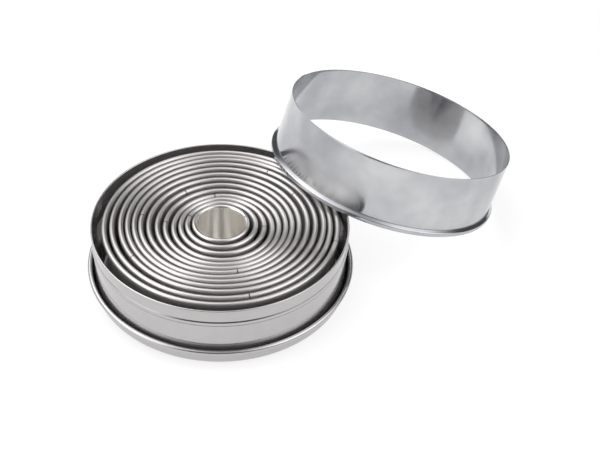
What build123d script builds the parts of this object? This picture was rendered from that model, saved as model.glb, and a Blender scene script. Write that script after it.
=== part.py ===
"""Nesting set of fourteen plain round cutters in a round slip-lid tin.

The frame's origin is the centre of the lid's underside, +Z up. The tin stands in its upturned
lid. Thirteen cutters stand in it, curled rims up, and the largest leans on the tin's rim, curled
rim down. Millimetres and degrees.
"""
import math
import os

from build123d import *

# Sheet and clearances
STRIP = 0.3
SHEET = 0.35
OVERRUN = 1.0
NEST_CLEARANCE = 0.27
REST_CLEARANCE = 0.15

# Cutters: how many stand nested, inner radius of the smallest, and growth from one to the next
NESTED = 13
SMALLEST_RADIUS = 9.92
NEST_STEP = 3.077
CUTTER_HEIGHT = 27.85

# Curl: the strip's edge rolled outward into a hollow bead, with the butt left open. After the
# turn it runs straight back to the wall and stops short of it. The lid's curl is a plain one
CURL_RADIUS = 1.0
CURL_SWEEP = 209
FLANK_GAP = 0.1
BUTT_GAP = 0.4
LID_CURL_SWEEP = 290

# Lap: the strip's ends overlap outside, and the covered edge shows inside as a fine line
LAP_LENGTH = 4.5
LAP_UNDER_CURL = 0.4
EDGE_LINE_WIDTH = 0.25
EDGE_LINE_DEPTH = 0.1

# Where each nested cutter's butt faces, smallest first, and the largest's
BUTT_ANGLES = (21, 162, -2, 102, 177, 128, -75, 174, 32, 61, 214, -74, -13)
LARGEST_BUTT_ANGLE = -153

# How far each cutter lies off the next larger one's centre, as shares of the play between them
LOOSE_SHARES = (
    (-0.45, 0.87),
    (-0.48, 0.86),
    (-0.28, 0.94),
    (0.42, -0.61),
    (0.33, -0.93),
    (0.54, -0.82),
    (0.28, -0.54),
    (-0.41, -0.84),
    (-0.38, -0.38),
    (-0.31, -0.31),
    (0.51, 0.66),
    (0.10, 0.41),
    (0.10, 0.03),
)

# Tin body: its wall just lets the largest cutter in, its rim is folded outward, and a ridge
# rolled outward below the neck stiffens it
TIN_CLEARANCE = 0.2
TIN_HEIGHT = 28.87
TIN_FOOT = 3.0
HEM_HEIGHT = 1.2
RIDGE_BELOW_RIM = 7.1
RIDGE_HEIGHT = 2.3
RIDGE_DEPTH = 0.45
TIN_SEAM_ANGLE = 152
TIN_SEAM_LAP = 5.0

# Lid, and the tin's place in it
LID_CLEARANCE = 1.0
LID_HEIGHT = 9.25
LID_CORNER = 4.2
TIN_PLACE_SHARES = (-0.05, -0.38)

# Largest cutter: which way it leans, and how far out from the tin's centre it lies
LEAN_DIRECTION = 35.7
LEAN_REACH = 86.8
STEEPEST_LEAN = 45
LEAN_STEP = 0.04

FLANK_LEAN = math.radians(CURL_SWEEP - 180)
FLANK_RUN_IN = CURL_RADIUS + (CURL_RADIUS - STRIP) * math.cos(FLANK_LEAN) - STRIP - FLANK_GAP
FLANK_LENGTH = FLANK_RUN_IN / math.sin(FLANK_LEAN)
ROLL_HEIGHT = CURL_RADIUS * (1 + math.sin(FLANK_LEAN)) + FLANK_LENGTH * math.cos(FLANK_LEAN)
LARGEST_RADIUS = SMALLEST_RADIUS + NESTED * NEST_STEP
TIN_RADIUS = LARGEST_RADIUS + 2 * CURL_RADIUS + TIN_CLEARANCE + SHEET
HEM_RADIUS = TIN_RADIUS + SHEET
LID_INNER_RADIUS = HEM_RADIUS + LID_CLEARANCE
TIN_PLAY = LID_INNER_RADIUS - TIN_RADIUS
TIN_OFF_CENTRE = math.hypot(*TIN_PLACE_SHARES) * TIN_PLAY
TIN_CORNER = LID_CORNER - SHEET - TIN_PLAY + TIN_OFF_CENTRE + REST_CLEARANCE


def curl_arcs(radius, crown, sheet, sweep):
    """Inner and outer face of a curl on a wall whose inner face is at radius."""
    centre = (radius + CURL_RADIUS, crown - CURL_RADIUS)
    inside = CenterArc(centre, CURL_RADIUS - sheet, 180, -sweep)
    outside = CenterArc(centre, CURL_RADIUS, 180, -sweep)
    return inside, outside


def plain_curl(radius, crown, sheet):
    """Hollow bead of the lid, open toward the wall's outside."""
    inside, outside = curl_arcs(radius, crown, sheet, LID_CURL_SWEEP)
    return [inside, Line(inside @ 1, outside @ 1), outside]


def flanked_curl(radius, crown):
    """Hollow bead of a cutter: round on top, with a straight flank back to the wall."""
    inside, outside = curl_arcs(radius, crown, STRIP, CURL_SWEEP)
    inner_flank = Line(inside @ 1, inside @ 1 + (inside % 1) * FLANK_LENGTH)
    outer_flank = Line(outside @ 1, outside @ 1 + (outside % 1) * FLANK_LENGTH)
    return [inside, inner_flank, Line(inner_flank @ 1, outer_flank @ 1), outer_flank, outside]


def ring(edges):
    """Solid of revolution about Z from edges drawn as (radius, height)."""
    outline = Plane.XZ * make_face(edges)
    return revolve(outline, Axis.Z, 360)


def block(low, high):
    """Box between two corners."""
    return Pos(*low) * Box(*[b - a for a, b in zip(low, high)], align=(Align.MIN,) * 3)


def sector(inner, outer, bottom, top, length):
    """Part of a ring, as long as length round its outside, centred on +X."""
    angle = math.degrees(length / outer)
    outline = Plane.XZ * Pos((inner + outer) / 2, (bottom + top) / 2) * Rectangle(outer - inner, top - bottom)
    return Rot(0, 0, -angle / 2) * revolve(outline, Axis.Z, angle)


def butt_cut(radius, crown):
    """Gap where the two ends of the curl meet, on +X."""
    centre_height = crown - CURL_RADIUS
    half = BUTT_GAP / 2
    reach = radius + 2 * CURL_RADIUS + OVERRUN
    upper = block((radius - OVERRUN, -half, centre_height), (reach, half, crown + OVERRUN))
    clear_of_wall = radius + STRIP + FLANK_GAP / 2
    lower = block((clear_of_wall, -half, crown - ROLL_HEIGHT - OVERRUN), (reach, half, crown))
    return upper + lower


def cutter(radius, butt_angle):
    """Plain round cutter standing on its cutting edge at z = 0."""
    curl_centre = CUTTER_HEIGHT - CURL_RADIUS
    outer = radius + STRIP
    wall = [
        Line((radius, 0), (radius, curl_centre)),
        Line((outer, 0), (outer, curl_centre)),
        Line((radius, 0), (outer, 0)),
    ]
    body = ring(wall + flanked_curl(radius, CUTTER_HEIGHT))
    lap_top = CUTTER_HEIGHT - ROLL_HEIGHT - LAP_UNDER_CURL
    lap = sector(radius + STRIP / 2, outer + STRIP, 0, lap_top, LAP_LENGTH)
    half = EDGE_LINE_WIDTH / 2
    edge_line = block(
        (radius - OVERRUN, -half, -OVERRUN),
        (radius + EDGE_LINE_DEPTH, half, curl_centre),
    )
    return Rot(0, 0, butt_angle) * (body + lap - butt_cut(radius, CUTTER_HEIGHT) - edge_line)


def tin_wall():
    """Side strip: foot turned in under the bottom disc, ridge, and a hem folded outward."""
    outer = TIN_RADIUS
    inner = outer - SHEET
    foot_end = outer - TIN_CORNER - TIN_FOOT
    corner_centre = (outer - TIN_CORNER, TIN_CORNER)
    ridge_mid = TIN_HEIGHT - RIDGE_BELOW_RIM
    ridge_low = ridge_mid - RIDGE_HEIGHT / 2
    ridge_high = ridge_mid + RIDGE_HEIGHT / 2
    hem_low = TIN_HEIGHT - HEM_HEIGHT
    hem_high = TIN_HEIGHT - SHEET
    outline = [
        Line((foot_end, 0), (outer - TIN_CORNER, 0)),
        CenterArc(corner_centre, TIN_CORNER, -90, 90),
        Line((outer, TIN_CORNER), (outer, ridge_low)),
        ThreePointArc((outer, ridge_low), (outer + RIDGE_DEPTH, ridge_mid), (outer, ridge_high)),
        Line((outer, ridge_high), (outer, hem_low)),
        Line((outer, hem_low), (HEM_RADIUS, hem_low)),
        Line((HEM_RADIUS, hem_low), (HEM_RADIUS, hem_high)),
        CenterArc((outer, hem_high), SHEET, 0, 180),
        Line((inner, hem_high), (inner, ridge_high)),
        ThreePointArc((inner, ridge_high), (inner + RIDGE_DEPTH, ridge_mid), (inner, ridge_low)),
        Line((inner, ridge_low), (inner, TIN_CORNER)),
        CenterArc(corner_centre, TIN_CORNER - SHEET, -90, 90),
        Line((outer - TIN_CORNER, SHEET), (foot_end, SHEET)),
        Line((foot_end, SHEET), (foot_end, 0)),
    ]
    seam = sector(inner - SHEET, inner + SHEET / 2, TIN_CORNER, ridge_low, TIN_SEAM_LAP)
    return ring(outline) + Rot(0, 0, TIN_SEAM_ANGLE) * seam


def tin_bottom():
    """Flat disc lying on the wall's turned-in foot."""
    disc = Cylinder(TIN_RADIUS - TIN_CORNER, SHEET, align=(Align.CENTER, Align.CENTER, Align.MIN))
    return Pos(0, 0, SHEET) * disc


def tin_lid():
    """Drawn lid, open side up, with a rounded bottom corner and an outward curl."""
    inner = LID_INNER_RADIUS
    outer = inner + SHEET
    corner_radius = outer - LID_CORNER
    corner_centre = (corner_radius, LID_CORNER)
    curl_centre = LID_HEIGHT - CURL_RADIUS
    outline = [
        Line((0, 0), (corner_radius, 0)),
        CenterArc(corner_centre, LID_CORNER, -90, 90),
        Line((outer, LID_CORNER), (outer, curl_centre)),
        Line((inner, curl_centre), (inner, LID_CORNER)),
        CenterArc(corner_centre, LID_CORNER - SHEET, -90, 90),
        Line((corner_radius, SHEET), (0, SHEET)),
        Line((0, SHEET), (0, 0)),
    ]
    return ring(outline + plain_curl(inner, LID_HEIGHT, SHEET))


def curl_middle_height(tilt):
    """Height of the middle of the leaning curl's centre circle, with its low side on the table."""
    return (LARGEST_RADIUS + CURL_RADIUS) * math.sin(tilt) + CURL_RADIUS


def rim_gap(tilt):
    """Gap between the leaning curl and the tin's hem, both taken as round tubes."""
    curl_circle = LARGEST_RADIUS + CURL_RADIUS
    hem_height = tin_place().Z + TIN_HEIGHT - SHEET
    out = LEAN_REACH + CURL_RADIUS * math.sin(tilt)
    gaps = []
    for half_degree in range(720):
        around = math.radians(half_degree / 2)
        x = out + curl_circle * math.cos(around) * math.cos(tilt)
        y = curl_circle * math.sin(around)
        z = curl_middle_height(tilt) - curl_circle * math.cos(around) * math.sin(tilt)
        gaps.append(math.hypot(math.hypot(x, y) - TIN_RADIUS, z - hem_height))
    return min(gaps) - CURL_RADIUS - SHEET


def lean_tilt():
    """Tilt in degrees: laid down in small steps from steep until the curl nearly meets the hem."""
    tilt = STEEPEST_LEAN
    while rim_gap(math.radians(tilt - LEAN_STEP)) > REST_CLEARANCE:
        tilt -= LEAN_STEP
    return tilt


def leaning(solid):
    """Turned curl down, tipped against the tin, and set with its low side on the table."""
    degrees = lean_tilt()
    tilt = math.radians(degrees)
    height = curl_middle_height(tilt) - CURL_RADIUS * math.cos(tilt)
    upside_down = Pos(0, 0, CUTTER_HEIGHT) * Rot(180, 0, 0)
    tipped = Rot(0, degrees, 0)
    out = Pos(LEAN_REACH, 0, height) * tipped
    turned = Rot(0, 0, LEAN_DIRECTION) * out * Rot(0, 0, -LEAN_DIRECTION)
    centre = tin_place()
    return Pos(centre.X, centre.Y, 0) * turned * upside_down * solid


def tin_place():
    """Centre of the tin in the lid."""
    x_share, y_share = TIN_PLACE_SHARES
    return Vector(x_share * TIN_PLAY, y_share * TIN_PLAY, SHEET)


def nested_places():
    """Centre of each nested cutter's cutting edge, smallest first."""
    place = tin_place() + Vector(0, 0, 2 * SHEET)
    places = []
    for number in range(NESTED, 0, -1):
        radius = SMALLEST_RADIUS + (number - 1) * NEST_STEP
        larger = TIN_RADIUS - SHEET if number == NESTED else radius + NEST_STEP
        play = larger - radius - 2 * CURL_RADIUS - NEST_CLEARANCE
        x_share, y_share = LOOSE_SHARES[number - 1]
        place = place + Vector(x_share * play, y_share * play, 0)
        places.append(place)
    return places[::-1]


os.makedirs("parts", exist_ok=True)

export_step(tin_lid(), "parts/tin_lid.step")
export_step(Pos(*tin_place()) * tin_wall(), "parts/tin_wall.step")
export_step(Pos(*tin_place()) * tin_bottom(), "parts/tin_bottom.step")

for index, place in enumerate(nested_places()):
    nested = cutter(SMALLEST_RADIUS + index * NEST_STEP, BUTT_ANGLES[index])
    export_step(Pos(*place) * nested, f"parts/cutter_{index + 1:02d}.step")

export_step(leaning(cutter(LARGEST_RADIUS, LARGEST_BUTT_ANGLE)), f"parts/cutter_{NESTED + 1}.step")
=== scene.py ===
# %% [markdown]
# # A nesting set of round cutters in its tin
#
# Fourteen plain round cutters made of tinned steel strip. Thirteen stand one inside the other in a
# round tin, the tin stands in its upturned lid, and the largest cutter leans on the tin's rim.
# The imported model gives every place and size, so this file only makes better looking surfaces at
# the same places.

import math

import bmesh
import bpy
import numpy as np
from mathutils import Matrix, Vector


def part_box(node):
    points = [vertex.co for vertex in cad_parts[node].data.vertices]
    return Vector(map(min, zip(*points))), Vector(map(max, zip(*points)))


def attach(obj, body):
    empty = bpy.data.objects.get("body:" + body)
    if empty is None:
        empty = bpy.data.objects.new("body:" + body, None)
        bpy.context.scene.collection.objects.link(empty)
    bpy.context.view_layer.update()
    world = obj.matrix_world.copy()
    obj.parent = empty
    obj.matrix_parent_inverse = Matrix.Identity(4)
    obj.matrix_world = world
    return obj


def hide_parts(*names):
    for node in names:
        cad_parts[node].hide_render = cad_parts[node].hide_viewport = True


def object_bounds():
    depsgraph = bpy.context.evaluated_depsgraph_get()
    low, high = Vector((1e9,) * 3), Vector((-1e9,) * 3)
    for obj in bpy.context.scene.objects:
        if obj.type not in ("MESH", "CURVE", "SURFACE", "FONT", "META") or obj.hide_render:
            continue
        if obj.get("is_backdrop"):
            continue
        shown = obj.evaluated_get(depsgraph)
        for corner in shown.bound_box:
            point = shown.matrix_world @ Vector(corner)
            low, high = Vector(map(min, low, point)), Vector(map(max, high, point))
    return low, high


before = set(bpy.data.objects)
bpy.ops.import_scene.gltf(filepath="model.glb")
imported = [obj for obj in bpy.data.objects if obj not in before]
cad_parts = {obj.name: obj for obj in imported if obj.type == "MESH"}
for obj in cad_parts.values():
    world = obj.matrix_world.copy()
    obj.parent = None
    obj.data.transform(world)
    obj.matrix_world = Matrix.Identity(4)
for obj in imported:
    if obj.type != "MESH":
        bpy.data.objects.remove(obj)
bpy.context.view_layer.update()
MM = 0.001

# %% [markdown]
# ## The camera
#
# A camera can be worked out from circles: the rims of nested rings show as ellipses whose centres
# and widths fix the height, the distance and the lens. Its place is measured from the tin's axis,
# because the tin is what the rings stand in. A small shift of the lens frames the picture without
# turning the camera.

# %% Camera
tin_low, tin_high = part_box("tin_wall")
tin_axis = (tin_low + tin_high) / 2
# Place of the camera in mm: right of the tin's axis, in front of it, and above the table.
EYE_RIGHT, EYE_FRONT, EYE_UP = 15.924, 349.651, 325.728
# Angles in radians.
LOOK_DOWN = 0.71631
CAMERA_ROLL = 0.021

camera = bpy.data.objects.new("camera", bpy.data.cameras.new("camera"))
bpy.context.scene.collection.objects.link(camera)
camera.data.sensor_width = 36
camera.data.lens = 67.106
camera.data.shift_x = 0.06856
camera.data.shift_y = 0.018
camera.data.clip_start = 0.01
eye = Vector((tin_axis.x + EYE_RIGHT * MM, tin_axis.y - EYE_FRONT * MM, EYE_UP * MM))
turn = Matrix.Rotation(math.pi / 2 - LOOK_DOWN, 4, "X") @ Matrix.Rotation(CAMERA_ROLL, 4, "Z")
camera.matrix_world = Matrix.Translation(eye) @ turn
bpy.context.scene.camera = camera
print("camera looks down", round(math.degrees(LOOK_DOWN), 1), "degrees")

# %% [markdown]
# ## Colours and nodes
#
# Colours are easiest to read as the hex values of a paint chart, but a shader works with linear
# light, so one function turns the first into the second. Another adds a node with its settings
# and its links in one go, so that each material below reads as a short list.

# %% Colour and node helpers
def linear(hex_colour):
    """sRGB hex to linear RGBA: v / 12.92 up to 0.04045, ((v + 0.055) / 1.055) ** 2.4 above it."""
    channels = np.array([int(hex_colour[i:i + 2], 16) for i in (1, 3, 5)]) / 255
    low, high = channels / 12.92, ((channels + 0.055) / 1.055) ** 2.4
    return (*np.where(channels <= 0.04045, low, high), 1.0)


def add_node(tree, kind, settings=None, **links):
    """Adds a node. settings are its properties; links are its inputs, values or other sockets.

    An input is called by its name, with _ for a space, or by its number, as _0."""
    node = tree.nodes.new(kind)
    for name, value in (settings or {}).items():
        setattr(node, name, value)
    for name, value in links.items():
        key = int(name[1:]) if name[1:].isdigit() else name.replace("_", " ")
        socket = node.inputs[key]
        if isinstance(value, bpy.types.NodeSocket):
            tree.links.new(value, socket)
        else:
            socket.default_value = value
    return node


def empty_tree(owner):
    """The owner's node tree with nothing in it."""
    owner.use_nodes = True
    owner.node_tree.nodes.clear()
    return owner.node_tree


print("mid grey", [round(v, 3) for v in linear("#808080")[:3]])

# %% [markdown]
# ## The table and the studio
#
# Shiny metal has little colour of its own: it shows what stands round it. So the studio is made
# first. It is a white table in a room with soft windows and a few dark places, and the room gives
# all the light. The world's shader works from the direction of the ray alone: height above the
# horizon gives the main brightness, and each window or dark place is a round patch with a soft
# edge, added where the ray points at it. The windows draw the bright line on every rim, and the
# dark places draw the lines between. The background is plain white: the camera sees white behind
# the table, and so does the metal wherever it looks below the horizon.

# %% White table
# How far the table lies below the object, in mm, and its sides in metres.
TABLE_DROP = 0.02
left, right, front, back = -0.15, 0.30, -0.40, 0.18
corners = np.array([(left, front), (right, front), (right, back), (left, back)])
spots = np.column_stack([corners, np.full(4, -TABLE_DROP * MM)])
floor_mesh = bpy.data.meshes.new("table_top")
floor_mesh.from_pydata(spots.tolist(), [], [(0, 1, 2, 3)])
floor = bpy.data.objects.new("table_top", floor_mesh)
bpy.context.scene.collection.objects.link(floor)
floor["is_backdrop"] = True
print("table", right - left, "by", back - front, "m")

# %% Paint of the table
# The glow is for the camera and for reflections only, so it puts no light on the object.
FLOOR_SHOWN = 0.74
floor_paint = bpy.data.materials.new("matt_white_table")
tree = empty_tree(floor_paint)
path = add_node(tree, "ShaderNodeLightPath")
seen = add_node(tree, "ShaderNodeMath", {"operation": "MAXIMUM"},
                _0=path.outputs["Is Camera Ray"], _1=path.outputs["Is Glossy Ray"])
seen = add_node(tree, "ShaderNodeMath", {"operation": "MAXIMUM"},
                _0=seen.outputs[0], _1=path.outputs["Is Transmission Ray"])
glow = add_node(tree, "ShaderNodeMath", {"operation": "MULTIPLY"},
                _0=seen.outputs[0], _1=FLOOR_SHOWN)
paint = add_node(tree, "ShaderNodeBsdfDiffuse", Color=linear("#969696"))
light = add_node(tree, "ShaderNodeEmission", Color=(1, 1, 1, 1), Strength=glow.outputs[0])
both = add_node(tree, "ShaderNodeAddShader", _0=paint.outputs[0], _1=light.outputs[0])
add_node(tree, "ShaderNodeOutputMaterial", Surface=both.outputs[0])
floor_mesh.materials.append(floor_paint)
print("paint", floor_paint.name, "with", len(tree.nodes), "nodes")

# %% Brightness of the room
world = bpy.data.worlds.new("soft_studio")
bpy.context.scene.world = world
tree = empty_tree(world)
ray = add_node(tree, "ShaderNodeTexCoord")
parts = add_node(tree, "ShaderNodeSeparateXYZ", _0=ray.outputs["Generated"])
ramp = add_node(tree, "ShaderNodeValToRGB", Fac=parts.outputs["Z"])
# Sine of the height above the horizon, and the brightness there.
ROOM = ((0.0, 0.32), (0.31, 0.41), (0.62, 1.37), (0.88, 0.98), (1.0, 0.68))
while len(ramp.color_ramp.elements) < len(ROOM):
    ramp.color_ramp.elements.new(0.5)
for stop, (sine, grey) in zip(ramp.color_ramp.elements, ROOM):
    stop.position = sine
    stop.color = (grey, grey, grey, 1)
print("room stops", len(ramp.color_ramp.elements))

# %% Windows and dark places
# Direction, cosine at the edge, and what the patch adds at its middle.
PATCHES = {
    "window_at_the_right": ((0.71, -0.18, 0.68), 0.74, 1.25),
    "window_at_the_left": ((-0.48, 0.21, 0.85), 0.62, 0.62),
    "lamp_screen_at_the_back": ((-0.39, 0.38, 0.84), 0.79, 1.04),
    "dark_corner": ((0.37, 0.90, 0.23), 0.39, -1.12),
    "dark_camera_side": ((0.01, -0.58, 0.81), 0.74, -0.60),
    "dark_doorway_in_front": ((0.0, -0.97, 0.24), 0.6, -0.52),
    "low_window_at_the_left": ((-0.85, -0.42, 0.31), 0.80, 1.2),
}
level = ramp.outputs["Color"]
for name, (direction, edge, adds) in PATCHES.items():
    toward = add_node(tree, "ShaderNodeVectorMath", {"operation": "DOT_PRODUCT"},
                      _0=ray.outputs["Generated"], _1=direction)
    patch = add_node(tree, "ShaderNodeMapRange", {"interpolation_type": "SMOOTHSTEP"},
                     Value=toward.outputs["Value"],
                     From_Min=edge, From_Max=1.0, To_Min=0.0, To_Max=adds)
    level = add_node(tree, "ShaderNodeMath", {"operation": "ADD", "label": name},
                     _0=level, _1=patch.outputs["Result"]).outputs[0]
level = add_node(tree, "ShaderNodeMath", {"operation": "MAXIMUM"}, _0=level, _1=0.0).outputs[0]
print("windows and dark places", len(PATCHES))

# %% White background
# White for the camera in every direction, and for the metal below the horizon.
lit = add_node(tree, "ShaderNodeBackground", Color=(1, 1, 1, 1), Strength=level)
white = add_node(tree, "ShaderNodeBackground", Color=(1, 1, 1, 1), Strength=1.0)
path = add_node(tree, "ShaderNodeLightPath")
mirrored = add_node(tree, "ShaderNodeMath", {"operation": "MAXIMUM"},
                    _0=path.outputs["Is Glossy Ray"], _1=path.outputs["Is Transmission Ray"])
below = add_node(tree, "ShaderNodeMath", {"operation": "LESS_THAN"},
                 _0=parts.outputs["Z"], _1=0.0)
mirrored = add_node(tree, "ShaderNodeMath", {"operation": "MULTIPLY"},
                    _0=mirrored.outputs[0], _1=below.outputs[0])
plain = add_node(tree, "ShaderNodeMath", {"operation": "MAXIMUM"},
                 _0=path.outputs["Is Camera Ray"], _1=mirrored.outputs[0])
shown = add_node(tree, "ShaderNodeMixShader",
                 _0=plain.outputs[0], _1=lit.outputs[0], _2=white.outputs[0])
add_node(tree, "ShaderNodeOutputWorld", Surface=shown.outputs[0])
print("world nodes", len(tree.nodes))

# %% [markdown]
# ## Bent sheet as a section carried round
#
# Every piece here is thin sheet or strip, bent and closed into a ring. Such a piece could be
# turned from a lathe outline, but a real rolled edge is hollow: the strip curls over and leaves a
# dark gap where it stops. So each piece starts from the middle line of the sheet in the
# radius-height plane, made of straight runs and bends. Moving it half a thickness to both sides
# gives the sheet's two faces, and half circles close its ends. That outline is then carried round
# the axis. All of it is arrays: one row of angles against one row of outline points.

# %% Middle line of a sheet
def run(start, end, count):
    """Straight stretch: start + t (end - start), t from 0 to 1 in count points.

    With each point comes the unit step to the left of the way ahead."""
    start, end = np.array(start, float), np.array(end, float)
    points = start + np.linspace(0, 1, count)[:, None] * (end - start)
    ahead = (end - start) / np.linalg.norm(end - start)
    return points, np.tile([-ahead[1], ahead[0]], (count, 1))


def bend(centre, radius, first, last, count):
    """Arc: centre + radius (cos a, sin a), a from first to last in degrees, in count points.

    With each point comes the unit step to the left of the way ahead."""
    angle = np.radians(np.linspace(first, last, count))
    spoke = np.stack([np.cos(angle), np.sin(angle)], axis=1)
    return np.array(centre) + radius * spoke, spoke * (1 if last < first else -1)


print("points of a quarter bend", len(bend((0, 0), 1, 90, 0, 5)[0]))

# %% Outline of a sheet
# The points of a rounded end, as angles of its half circle.
CAP_ANGLES = [30, 60, 90, 120, 150]
CAP = len(CAP_ANGLES)


def sheet_outline(stretches, thickness, on_axis=False):
    """Closed outline of a sheet: middle line plus and minus half a thickness along its left step.

    The free ends are half circles. A sheet that starts on the axis has no end there. Also gives
    the distance along the sheet at each outline point."""
    middle = np.vstack([points[(i > 0):] for i, (points, _) in enumerate(stretches)])
    left = np.vstack([steps[(i > 0):] for i, (_, steps) in enumerate(stretches)])
    half = thickness / 2
    along = np.concatenate([[0], np.cumsum(np.linalg.norm(np.diff(middle, axis=0), axis=1))])
    angle = np.radians(CAP_ANGLES)[:, None]

    def cap(at, step, ahead):
        return at + half * (np.cos(angle) * step + np.sin(angle) * ahead)

    ahead = np.stack([left[:, 1], -left[:, 0]], axis=1)
    end_cap = cap(middle[-1], left[-1], ahead[-1])
    outline = [middle + half * left, end_cap, (middle - half * left)[::-1]]
    lengths = [along, np.full(CAP, along[-1]), along[::-1]]
    if not on_axis:
        outline.append(cap(middle[0], -left[0], -ahead[0]))
        lengths.append(np.full(CAP, 0.0))
    return np.vstack(outline), np.concatenate(lengths)


test_outline, _ = sheet_outline([run((1, 0), (1, 5), 6)], 0.3)
print("outline of a straight strip:", len(test_outline), "points, width",
      round(float(np.ptp(test_outline[:, 0])), 3))

# %% Carry an outline round
def carried(radius, height, angle):
    """Points of an outline carried round +Z: (radius cos angle, radius sin angle, height)."""
    return np.stack([radius * np.cos(angle), radius * np.sin(angle), height + 0 * angle], axis=-1)


def grid_faces(columns, rows, closed_columns, closed_rows):
    """Quads between neighbouring grid points: (column, row) of 4 corners, as (faces, 4, 2)."""
    i, j = np.meshgrid(np.arange(columns - (not closed_columns)),
                       np.arange(rows - (not closed_rows)), indexing="ij")
    i, j = i.ravel(), j.ravel()
    corners = ((i, j), (i, j + 1), (i + 1, j + 1), (i + 1, j))
    return np.stack([np.stack(corner, -1) for corner in corners], 1)


def shell(points, round_mm, length_mm, closed_round, closed_outline=True):
    """A closed shell from a (columns, rows, 3) grid: vertices, faces and UV corners.

    Open ends are closed by faces over the whole outline: quads between the sheet's two faces and
    a small fan at each rounded end. UV is the distance round and along the sheet, in metres."""
    columns, rows = points.shape[:2]
    corner = grid_faces(columns, rows, closed_round, closed_outline)
    u = np.append(round_mm, round_mm[-1] + (round_mm[1] - round_mm[0]))
    v = np.append(length_mm, length_mm[0])
    uv = np.stack([u[corner[..., 0]], v[corner[..., 1]]], -1).reshape(-1, 2)
    index = (corner[..., 0] % columns) * rows + corner[..., 1] % rows
    faces = index.tolist()
    if not closed_round:
        half = (rows - 2 * CAP) // 2
        last_cap = rows - CAP - 1
        a = np.arange(half)
        b = last_cap - a
        ladder = np.stack([a[:-1], b[:-1], b[1:], a[1:]], -1)
        fans = [list(range(half - 1, half + CAP + 1)), list(range(last_cap, rows)) + [0]]
        for column, flip in ((0, 1), (columns - 1, -1)):
            ends = [row[::flip] for row in ladder.tolist()] + [fan[::-flip] for fan in fans]
            faces += [[column * rows + k for k in face] for face in ends]
            spots = [k for face in ends for k in face]
            uv = np.vstack([uv, np.stack([np.full(len(spots), u[column]), v[spots]], -1)])
    return points.reshape(-1, 3), faces, uv * MM


def moved(shells, place):
    """The same shells with their points shifted by place, in mm."""
    return [(points + np.array(place), faces, uv) for points, faces, uv in shells]


print("quads of a 4 by 3 grid, closed both ways:", len(grid_faces(4, 3, True, True)))

# %% Make a piece of its shells
SHEET_UV = "sheet_metres"
# Points nearer than this are one, in metres, and edges sharper than this stay sharp.
MERGE = 1e-7
SHARP = math.radians(50)
FINISHES = {}


def enclosed(mesh):
    """Volume inside a closed mesh in cubic mm: the sum of a . (b x c) / 6 over its triangles."""
    mesh.calc_loop_triangles()
    spots = np.zeros(len(mesh.vertices) * 3)
    mesh.vertices.foreach_get("co", spots)
    three = np.zeros(len(mesh.loop_triangles) * 3, np.int32)
    mesh.loop_triangles.foreach_get("vertices", three)
    a, b, c = spots.reshape(-1, 3)[three.reshape(-1, 3)].transpose(1, 0, 2)
    return float(np.einsum("ij,ij->i", a, np.cross(b, c)).sum() / 6 / MM ** 3)


def make_piece(name, shells, finish, slot, body, *nodes):
    """One object from several shells in mm, riding on a body in the place of the CAD nodes."""
    mesh = bpy.data.meshes.new(name)
    starts = np.cumsum([0] + [len(points) for points, _, _ in shells])
    faces = [[k + int(start) for k in face]
             for (_, group, _), start in zip(shells, starts) for face in group]
    mesh.from_pydata((np.vstack([points for points, _, _ in shells]) * MM).tolist(), [], faces)
    layer = mesh.uv_layers.new(name=SHEET_UV)
    layer.data.foreach_set("uv", np.vstack([uv for _, _, uv in shells]).astype(np.float32).ravel())
    build = bmesh.new()
    build.from_mesh(mesh)
    bmesh.ops.remove_doubles(build, verts=build.verts, dist=MERGE)
    build.to_mesh(mesh)
    build.free()
    volume = enclosed(mesh)
    if volume < 0:
        mesh.flip_normals()
    mesh.shade_smooth()
    mesh.set_sharp_from_angle(angle=SHARP)
    mesh.materials.append(FINISHES[finish])
    piece = bpy.data.objects.new(name, mesh)
    bpy.context.scene.collection.objects.link(piece)
    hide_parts(*nodes)
    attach(piece, body)
    print(name, len(mesh.polygons), "faces,", round(abs(volume)), "cubic mm")
    return piece


print("edges stay sharp above", round(math.degrees(SHARP)), "degrees")

# %% [markdown]
# ## The finishes
#
# Tinned steel is steel with a thin coat of tin. Rolled strip has faint lines along it, so its
# reflections are drawn out across the lines, and patches of it are a little duller. How far they
# are drawn out follows the look of each cutter: further on the nested ones than on the largest.
# The tin and its lid show softer, cloudy reflections without lines. A metal's look is its colour,
# its roughness and the unevenness of both, so each material is a metal with noise on both. The
# metallic value stays a little under 1, which mixes in some soft reflection.

# %% Tinned strip
METALLIC = 0.85


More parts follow.
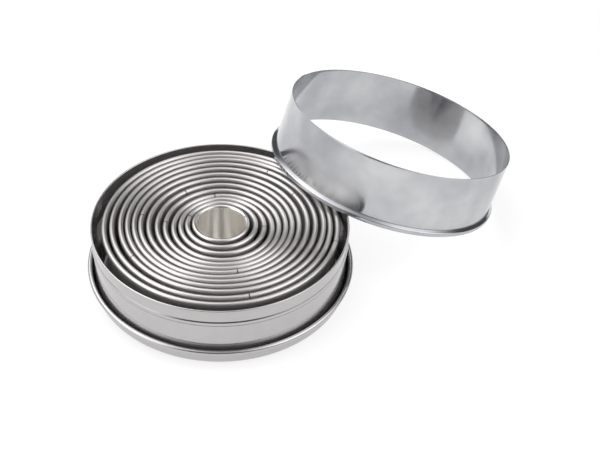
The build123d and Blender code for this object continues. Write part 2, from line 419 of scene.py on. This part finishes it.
def tinned_strip(name, plain, clouded, smoothest, roughest, drawn_out, inside=None):
    """Rolled and tinned strip: a plain tone with soft clouds of a second one.

    drawn_out, from 0 to 1, spreads reflections across the rolling lines. inside is a tone, a
    place and a radius in metres: the tone holds nearer than that to the axis there."""
    material = bpy.data.materials.new(name)
    tree = empty_tree(material)
    flat = add_node(tree, "ShaderNodeUVMap", {"uv_map": SHEET_UV})
    # Rolling lines: 0.35 mm apart and 60 mm long. Real ones are far finer; these show as streaks.
    lines_at = add_node(tree, "ShaderNodeMapping", Vector=flat.outputs[0],
                        Scale=(1 / (60 * MM), 1 / (0.35 * MM), 1))
    lines = add_node(tree, "ShaderNodeTexNoise", Vector=lines_at.outputs[0],
                     Scale=1.0, Detail=2.0)
    # Duller patches: about 14 mm long and 8 mm high.
    marks_at = add_node(tree, "ShaderNodeMapping", Vector=flat.outputs[0],
                        Scale=(1 / (14 * MM), 1 / (8 * MM), 1))
    marks = add_node(tree, "ShaderNodeTexNoise", Vector=marks_at.outputs[0],
                     Scale=1.0, Detail=4.0, Roughness=0.6)
    rough = add_node(tree, "ShaderNodeMapRange", Value=marks.outputs["Fac"],
                     From_Min=0.3, From_Max=0.7, To_Min=smoothest, To_Max=roughest)
    # Clouds in the coat: soft, about 30 mm across. The location picks a stretch of the pattern.
    clouds_at = add_node(tree, "ShaderNodeMapping", Vector=flat.outputs[0],
                         Location=(3.0, 0, 0), Scale=(1 / (30 * MM), 1 / (28 * MM), 1))
    clouds = add_node(tree, "ShaderNodeTexNoise", Vector=clouds_at.outputs[0],
                      Scale=1.0, Detail=3.0, Roughness=0.5)
    cloud = add_node(tree, "ShaderNodeMapRange", Value=clouds.outputs["Fac"],
                     From_Min=0.32, From_Max=0.68)
    tint = add_node(tree, "ShaderNodeMix", {"data_type": "RGBA"},
                    Factor=cloud.outputs["Result"], _6=linear(plain), _7=linear(clouded))
    # Painted light: a paler tone nearer to the axis than the radius stands in for light reflected
    # down inside the ring.
    if inside:
        tone, (x, y), radius = inside
        spot = add_node(tree, "ShaderNodeTexCoord")
        shift = add_node(tree, "ShaderNodeVectorMath", {"operation": "SUBTRACT"},
                         _0=spot.outputs["Object"], _1=(x, y, 0))
        level = add_node(tree, "ShaderNodeVectorMath", {"operation": "MULTIPLY"},
                         _0=shift.outputs[0], _1=(1, 1, 0))
        away = add_node(tree, "ShaderNodeVectorMath", {"operation": "LENGTH"},
                        _0=level.outputs[0])
        near = add_node(tree, "ShaderNodeMath", {"operation": "LESS_THAN"},
                        _0=away.outputs["Value"], _1=radius)
        tint = add_node(tree, "ShaderNodeMix", {"data_type": "RGBA"},
                        Factor=near.outputs[0], _6=tint.outputs[2], _7=linear(tone))
    relief = add_node(tree, "ShaderNodeBump", Height=lines.outputs["Fac"],
                      Strength=0.15, Distance=0.01 * MM)
    # The lines run round the ring, so they spread a reflection up and down, hardly sideways.
    along = add_node(tree, "ShaderNodeTangent", {"direction_type": "UV_MAP", "uv_map": SHEET_UV})
    metal = add_node(tree, "ShaderNodeBsdfPrincipled", Base_Color=tint.outputs[2],
                     Metallic=METALLIC, Roughness=rough.outputs["Result"],
                     Normal=relief.outputs[0], Anisotropic=drawn_out,
                     Anisotropic_Rotation=0.25, Tangent=along.outputs[0])
    add_node(tree, "ShaderNodeOutputMaterial", Surface=metal.outputs[0])
    return material


BRIGHT = ("#CDCECF", "#A6A7AC")
STREAKY = ("#C8C5C4", "#D1CECD")
FINISHES["cutter_strip"] = tinned_strip("bright_tinned_strip", *BRIGHT, 0.10, 0.15, 0.4)
FINISHES["streaky_cutter_strip"] = tinned_strip("streaky_tinned_strip", *STREAKY,
                                                0.28, 0.34, 0.88)
# Painted light: the smallest cutter gets a paler tone inside, which stands in for the light that
# reflects down into it.
low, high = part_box("cutter_01")
painted_light_inside = ("#FAF8F4", ((low + high) / 2).xy, 10.07 * MM)
FINISHES["small_cutter_painted_light_strip"] = tinned_strip("tinned_strip_painted_light_inside", *STREAKY,
                                              0.18, 0.24, 0.6, painted_light_inside)
print("strip finishes", sorted(FINISHES))

# %% Satin tin plate
def satin_tin_plate():
    """Tin plate with a satin coat: soft reflections, slightly cloudy."""
    material = bpy.data.materials.new("satin_tin_plate")
    tree = empty_tree(material)
    place = add_node(tree, "ShaderNodeTexCoord")
    # Spangle of the tin coat: soft clouds about 6 mm across.
    clouds_at = add_node(tree, "ShaderNodeMapping", Vector=place.outputs["Object"],
                         Scale=(1 / (6 * MM),) * 3)
    clouds = add_node(tree, "ShaderNodeTexNoise", Vector=clouds_at.outputs[0],
                      Scale=1.0, Detail=4.0, Roughness=0.6)
    rough = add_node(tree, "ShaderNodeMapRange", Value=clouds.outputs["Fac"],
                     From_Min=0.3, From_Max=0.7, To_Min=0.11, To_Max=0.16)
    tint = add_node(tree, "ShaderNodeMix", {"data_type": "RGBA"},
                    Factor=clouds.outputs["Fac"], _6=linear("#B6B4B5"), _7=linear("#C2C0C0"))
    metal = add_node(tree, "ShaderNodeBsdfPrincipled", Base_Color=tint.outputs[2],
                     Metallic=METALLIC, Roughness=rough.outputs["Result"])
    add_node(tree, "ShaderNodeOutputMaterial", Surface=metal.outputs[0])
    return material


FINISHES["tin_plate"] = satin_tin_plate()
print("finishes", sorted(FINISHES))

# %% [markdown]
# ## The rolled strip of one cutter
#
# A cutter is one strip bent into a ring. Its top edge is rolled outward: round over the top, down
# a short lip, and back toward the wall, where the cut edge stops just short. That last stretch is
# the ledge that shows on the cutter that stands upside down. The strip's ends lap on the outside,
# held by spot welds. The curl isn't lapped: its two ends butt, with a hairline gap. So the ring is
# carried round from one end of the strip to the other, with a wider gap at the curl than at the
# wall, and a short second strip covers the wall's gap from outside. A ring of thin strip is never
# quite round, and its reflections show that more than its outline does, so low waves run round
# the wall and grow toward its free edge.

# %% Sizes of the rolled strip, in mm
STRIP = 0.3
CURL = 1.0
LIP = 0.8
LIP_BEND = 0.45
# Lean of the ledge, in degrees from straight down.
LEDGE_LEAN = 64
LEDGE_GAP = 0.35
BUTT_HALF = 0.2
WALL_HALF = 0.07
LAP = 4.5
LAP_BELOW_CURL = 0.4
# Play between lapped layers, so that their faces don't lie in one place.
HAIR = 0.02
print("rim", 2 * CURL, "mm wide, lap", LAP, "mm wide")

# %% Unevenness of a ring
# Spot welds: width and depth in mm, and their heights as shares of the ring's height.
WELD, WELD_DEPTH = 2.0, 0.05
WELD_SHARES = (0.14, 0.36, 0.58, 0.80)
WAVES = (2, 3, 5, 9)
UNEVEN = 0.07


def out_of_round(angle, height, full_height, seed):
    """Waves in mm: UNEVEN (1 - height / full) ** 2 times the sum of sin(n angle + p) s / n.

    n goes through WAVES. p and s are drawn by chance."""
    chance = np.random.default_rng(seed)
    free = (1 - height / full_height) ** 2
    total = 0 * angle + 0 * height
    for waves in WAVES:
        wave = np.sin(waves * angle + chance.uniform(0, 2 * np.pi))
        total = total + wave * chance.uniform(0.4, 1) / waves
    return UNEVEN * total * free


def weld_dents(across, height, full_height):
    """Round dents on the seam: depth (1 - far ** 2), far from 0 in the middle to 1 at the edge."""
    dents = 0 * across + 0 * height
    for share in WELD_SHARES:
        far = np.hypot(across, height - share * full_height) / (WELD / 2)
        dents = dents + WELD_DEPTH * np.clip(1 - far ** 2, 0, 1)
    return dents


def squeezed(angle, height, full_height, amount, facing):
    """Free edge pushed in: -amount (1 - height / full) ** 1.5 cos(angle - facing) ** 2.

    The other half of the ring, where the cosine is below 0, stays as it is."""
    side = np.clip(np.cos(angle - facing), 0, 1) ** 2
    return -amount * (1 - height / full_height) ** 1.5 * side


print("spot welds", len(WELD_SHARES), "waves round the ring", WAVES)

# %% Ring and lap of one cutter
# Columns are closer together near the seam, so that the weld dents have enough of them.
SEAM_ZONE, SEAM_COLUMNS = 5, 21
COLUMN, FEWEST_COLUMNS = 0.85, 96


def rim_line(radius, height):
    """Middle line of the strip: up the wall, half round the curl, down the lip, along the ledge."""
    middle = radius + STRIP / 2
    wall = run((middle, STRIP / 2), (middle, height - CURL), 30)
    curl = bend((radius + CURL, height - CURL), CURL - STRIP / 2, 180, 0, 25)
    lip_foot = curl[0][-1] - (0, LIP)
    bend_line = LIP_BEND - STRIP / 2
    turn_in = bend(lip_foot - (bend_line, 0), bend_line, 0, -LEDGE_LEAN, 8)
    corner = turn_in[0][-1]
    lean = math.radians(LEDGE_LEAN)
    ledge = (corner[0] - middle - LEDGE_GAP) / math.sin(lean)
    back = run(corner, corner - ledge * np.array([math.sin(lean), math.cos(lean)]), 6)
    return [wall, curl, run(curl[0][-1], lip_foot, 4), turn_in, back]


def cutter_shells(radius, height, butt, seed, squeeze=0.0, squeeze_at=0.0):
    """The ring and its lap, standing on the cutting edge at the origin, butt in degrees from +X."""
    wall_top = height - 2 * CURL

    def uneven(turn, z):
        low = np.clip(z, 0, wall_top)
        waves = out_of_round(turn, low, wall_top, seed)
        return waves + squeezed(turn, low, wall_top, squeeze, squeeze_at)

    stretches = rim_line(radius, height)
    outline, along = sheet_outline(stretches, STRIP)
    r, z = outline[:, 0], outline[:, 1]
    length = 2 * np.pi * radius
    near = np.linspace(0, SEAM_ZONE, SEAM_COLUMNS)
    far = np.linspace(SEAM_ZONE, length - SEAM_ZONE, max(FEWEST_COLUMNS, int(length / COLUMN)))
    round_mm = np.concatenate([near, far[1:-1], length - near[::-1]])
    share = round_mm / length
    on_curl = (r > radius + STRIP + HAIR) | (z > height - CURL)
    gap = np.where(on_curl, BUTT_HALF, WALL_HALF) / radius
    turn = math.radians(butt) + gap + share[:, None] * (2 * np.pi - 2 * gap)
    across = np.minimum(round_mm, length - round_mm)[:, None]
    dents = weld_dents(across, z, height) * (z < wall_top)
    ring = shell(carried(r + uneven(turn, z) + dents, z, turn), round_mm, along, False)

    roll = height - stretches[-1][0][-1][1] + STRIP
    lap_top = height - roll - LAP_BELOW_CURL
    lap_middle = radius + STRIP / 2 + STRIP
    lap_line = run((lap_middle, STRIP / 2), (lap_middle, lap_top - STRIP / 2), 60)
    outline, along = sheet_outline([lap_line], STRIP - HAIR)
    r, z = outline[:, 0] + HAIR / 2, outline[:, 1]
    round_mm = np.linspace(-LAP / 2, LAP / 2, 25)
    turn = math.radians(butt) + round_mm[:, None] / radius + 0 * z
    dents = weld_dents(np.abs(round_mm)[:, None], z, height)
    lap = shell(carried(r + uneven(turn, z) + dents, z, turn), round_mm, along, False)
    return [ring, lap]


print("shells of one cutter", len(cutter_shells(10, 28, butt=0, seed=1)))

# %% [markdown]
# ## The nest
#
# The cutters grow in equal steps. One could be scaled to make the others, but scaling would
# thicken its strip and widen its rim, so each is worked out from its own radius. Each stands
# where its CAD node does, a little off the centre of the next larger one, and the butt of each
# curl points its own way.

# %% Thirteen nested cutters
SMALLEST = 9.92
STEP = 3.077
BUTTS = (21, 162, -2, 102, 177, 128, -75, 174, 32, 61, 214, -74, -13)

for number, butt in enumerate(BUTTS, start=1):
    node = f"cutter_{number:02d}"
    low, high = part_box(node)
    place = ((low + high) / 2 / MM).xy
    height = (high.z - low.z) / MM
    shells = cutter_shells(SMALLEST + (number - 1) * STEP, height, butt, seed=number)
    finish = "small_cutter_painted_light_strip" if number == 1 else "streaky_cutter_strip"
    make_piece(f"rolled_{node}", moved(shells, (*place, low.z / MM)), finish,
               "cutter_strip", node, node)

# %% [markdown]
# ## The largest cutter, leaning
#
# The largest one stands rim down beside the tin and leans on the tin's rim. Its tilt follows from
# the height of its CAD box: a ring of this height, tipped by an angle, reaches from the table to
# that height, and the angle is found by halving. The points are turned as an array, so the object
# itself stays unturned at the origin.

# %% Tilt of the leaning cutter
HALVINGS = 40
LARGEST = SMALLEST + len(BUTTS) * STEP
low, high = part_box("cutter_14")
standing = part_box("cutter_13")
CUTTER_HEIGHT = (standing[1].z - standing[0].z) / MM


def rim_height(tilt):
    """Height of the middle of the tipped ring's lower end: (R + c) sin t + c - c cos t."""
    return (LARGEST + CURL) * math.sin(tilt) + CURL - CURL * math.cos(tilt)


def top_of_leaning(tilt):
    """Height of the tipped ring: rim height + h cos t + (R + 2 s) sin t."""
    wall = CUTTER_HEIGHT * math.cos(tilt)
    return rim_height(tilt) + wall + (LARGEST + 2 * STRIP) * math.sin(tilt)


flat, steep = 0.0, math.radians(45)
for _ in range(HALVINGS):
    tilt = (flat + steep) / 2
    flat, steep = (tilt, steep) if top_of_leaning(tilt) < high.z / MM else (flat, tilt)
print("tilt", round(math.degrees(tilt), 2), "degrees")

# %% Leaning cutter
LEAN_TOWARD = math.radians(35.7)
LEAN_REACH = 86.8
LEANING_BUTT = -153
# Its cutting edge is pushed in a little on the side away from the camera.
SQUEEZE, SQUEEZE_AT = 1.7, -(LEAN_TOWARD + math.radians(77))
lean = (Matrix.Translation((tin_axis.x / MM, tin_axis.y / MM, 0))
        @ Matrix.Rotation(LEAN_TOWARD, 4, "Z")
        @ Matrix.Translation((LEAN_REACH, 0, rim_height(tilt)))
        @ Matrix.Rotation(tilt, 4, "Y")
        @ Matrix.Rotation(-LEAN_TOWARD, 4, "Z")
        @ Matrix.Translation((0, 0, CUTTER_HEIGHT))
        @ Matrix.Rotation(math.pi, 4, "X"))
turn = np.array(lean)
upright = cutter_shells(LARGEST, CUTTER_HEIGHT, LEANING_BUTT, 14, SQUEEZE, SQUEEZE_AT)
shells = [(points @ turn[:3, :3].T + turn[:3, 3], faces, uv) for points, faces, uv in upright]
leaning = make_piece("rolled_cutter_14", shells, "cutter_strip",
                     "cutter_strip", "cutter_14", "cutter_14")
built = np.array([v.co for v in leaning.data.vertices]) / MM
print("CAD box", [round(v / MM, 2) for v in (*low, *high)])
print("built box", built.min(0).round(2), built.max(0).round(2))

# %% [markdown]
# ## The tin and its lid
#
# The tin's wall is one strip: a foot turned in under the bottom disc, a rounded corner, a ridge
# rolled outward below the neck to stiffen it, and a rim folded outward so that no cut edge
# shows. Its ends lap on the inside. The lid is drawn in a press from one disc, with a rounded
# corner and a rolled edge. These could be lathe shapes, but the same carried section keeps the
# real gaps in the folded and the rolled edge.

# %% Sheet of the tin and lid, in mm
SHEET = 0.35


def turned(stretches, columns, radius, on_axis=False):
    """The outline of a sheet carried round at columns equal turns; radius scales its UV."""
    outline, along = sheet_outline(stretches, SHEET, on_axis)
    turns = np.linspace(0, 2 * np.pi, columns + 1)[:-1]
    spots = carried(outline[:, 0] + 0 * turns[:, None], outline[:, 1],
                    turns[:, None] + 0 * outline[:, 0])
    return shell(spots, turns * radius, along, True, closed_outline=not on_axis)


print("sheet", SHEET, "mm")

# %% Tin wall
FOOT = 3.0
HEM, HEM_GAP = 1.2, 0.03
RIDGE_DOWN, RIDGE, RIDGE_DEPTH = 7.1, 2.3, 0.45
outer = (tin_high.x - tin_low.x) / 2 / MM - SHEET
top = (tin_high.z - tin_low.z) / MM
bottom_low, bottom_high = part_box("tin_bottom")
corner = outer - (bottom_high.x - bottom_low.x) / 2 / MM
line = outer - SHEET / 2
ridge = top - RIDGE_DOWN
# Radius of the ridge's arc from its height and depth, and half the angle it covers.
ridge_bend = (RIDGE ** 2 / 4 + RIDGE_DEPTH ** 2) / (2 * RIDGE_DEPTH)
half_ridge = math.degrees(math.asin(RIDGE / 2 / ridge_bend))
fold = SHEET / 2 + HEM_GAP
hem_line = line + 2 * fold
wall_shell = turned([
    run((outer - corner - FOOT + SHEET / 2, SHEET / 2), (outer - corner, SHEET / 2), 6),
    bend((outer - corner, corner), corner - SHEET / 2, -90, 0, 12),
    run((line, corner), (line, ridge - RIDGE / 2), 12),
    bend((line - ridge_bend + RIDGE_DEPTH, ridge), ridge_bend, -half_ridge, half_ridge, 13),
    run((line, ridge + RIDGE / 2), (line, top - SHEET), 8),
    bend((line + fold, top - SHEET), fold, 180, 0, 9),
    run((hem_line, top - SHEET), (hem_line, top - HEM + SHEET / 2), 4),
], columns=512, radius=outer)
print("ridge bend", round(ridge_bend, 2), "mm")

# %% Seam of the tin wall
# The strip's ends lap on the inside, between the corner and the ridge.
SEAM_LAP, SEAM_ANGLE = 5.0, 152
lap_line = run((line - SHEET, corner + SHEET / 2),
               (line - SHEET, ridge - RIDGE / 2 - SHEET / 2), 12)
outline, along = sheet_outline([lap_line], SHEET - HAIR)
round_mm = np.linspace(-SEAM_LAP / 2, SEAM_LAP / 2, 9)
turn = math.radians(SEAM_ANGLE) + round_mm[:, None] / outer + 0 * outline[:, 1]
spots = carried(outline[:, 0] - HAIR / 2, outline[:, 1], turn)
seam_shell = shell(spots, round_mm, along, False)
place = np.array([tin_axis.x, tin_axis.y, tin_low.z]) / MM
make_piece("folded_tin_wall", moved([wall_shell, seam_shell], place), "tin_plate",
           "tin_plate", "tin", "tin_wall")

# %% Tin bottom
across = (bottom_high.x - bottom_low.x) / 2 / MM
bottom_shell = turned([run((0, SHEET / 2), (across - SHEET / 2, SHEET / 2), 40)],
                      columns=256, radius=across, on_axis=True)
place = np.array([(bottom_low.x + bottom_high.x) / 2,
                  (bottom_low.y + bottom_high.y) / 2, bottom_low.z]) / MM
make_piece("tin_bottom_disc", moved([bottom_shell], place), "tin_plate",
           "tin_plate", "tin", "tin_bottom")

# %% Lid
LID_CORNER = 4.2
# How far the lid's edge curls round, in degrees.
LID_CURL_TURN = 290
lid_low, lid_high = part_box("tin_lid")
lid_top = (lid_high.z - lid_low.z) / MM
lid_inner = (lid_high.x - lid_low.x) / 2 / MM - 2 * CURL
flat_end = lid_inner + SHEET - LID_CORNER
line = lid_inner + SHEET / 2
lid_shell = turned([
    run((0, SHEET / 2), (flat_end, SHEET / 2), 40),
    bend((flat_end, LID_CORNER), LID_CORNER - SHEET / 2, -90, 0, 14),
    run((line, LID_CORNER), (line, lid_top - CURL), 10),
    bend((lid_inner + CURL, lid_top - CURL), CURL - SHEET / 2, 180, 180 - LID_CURL_TURN, 27),
], columns=512, radius=lid_inner, on_axis=True)
make_piece("drawn_lid", moved([lid_shell], (0, 0, 0)), "tin_plate",
           "tin_plate", "lid", "tin_lid")

# %% [markdown]
# ## Measure and finish
#
# The new surfaces should take up the same room as the imported model, so their box is measured and
# printed before the last step.

# %% Measure and finish
low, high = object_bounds()
print("visual box mm", [round(v / MM, 2) for v in (high - low)])
bpy.context.scene.view_settings.view_transform = "Standard"
# Light reaches the bottom of the narrow gaps between rings only after many reflections.
bpy.context.scene.cycles.glossy_bounces = 10
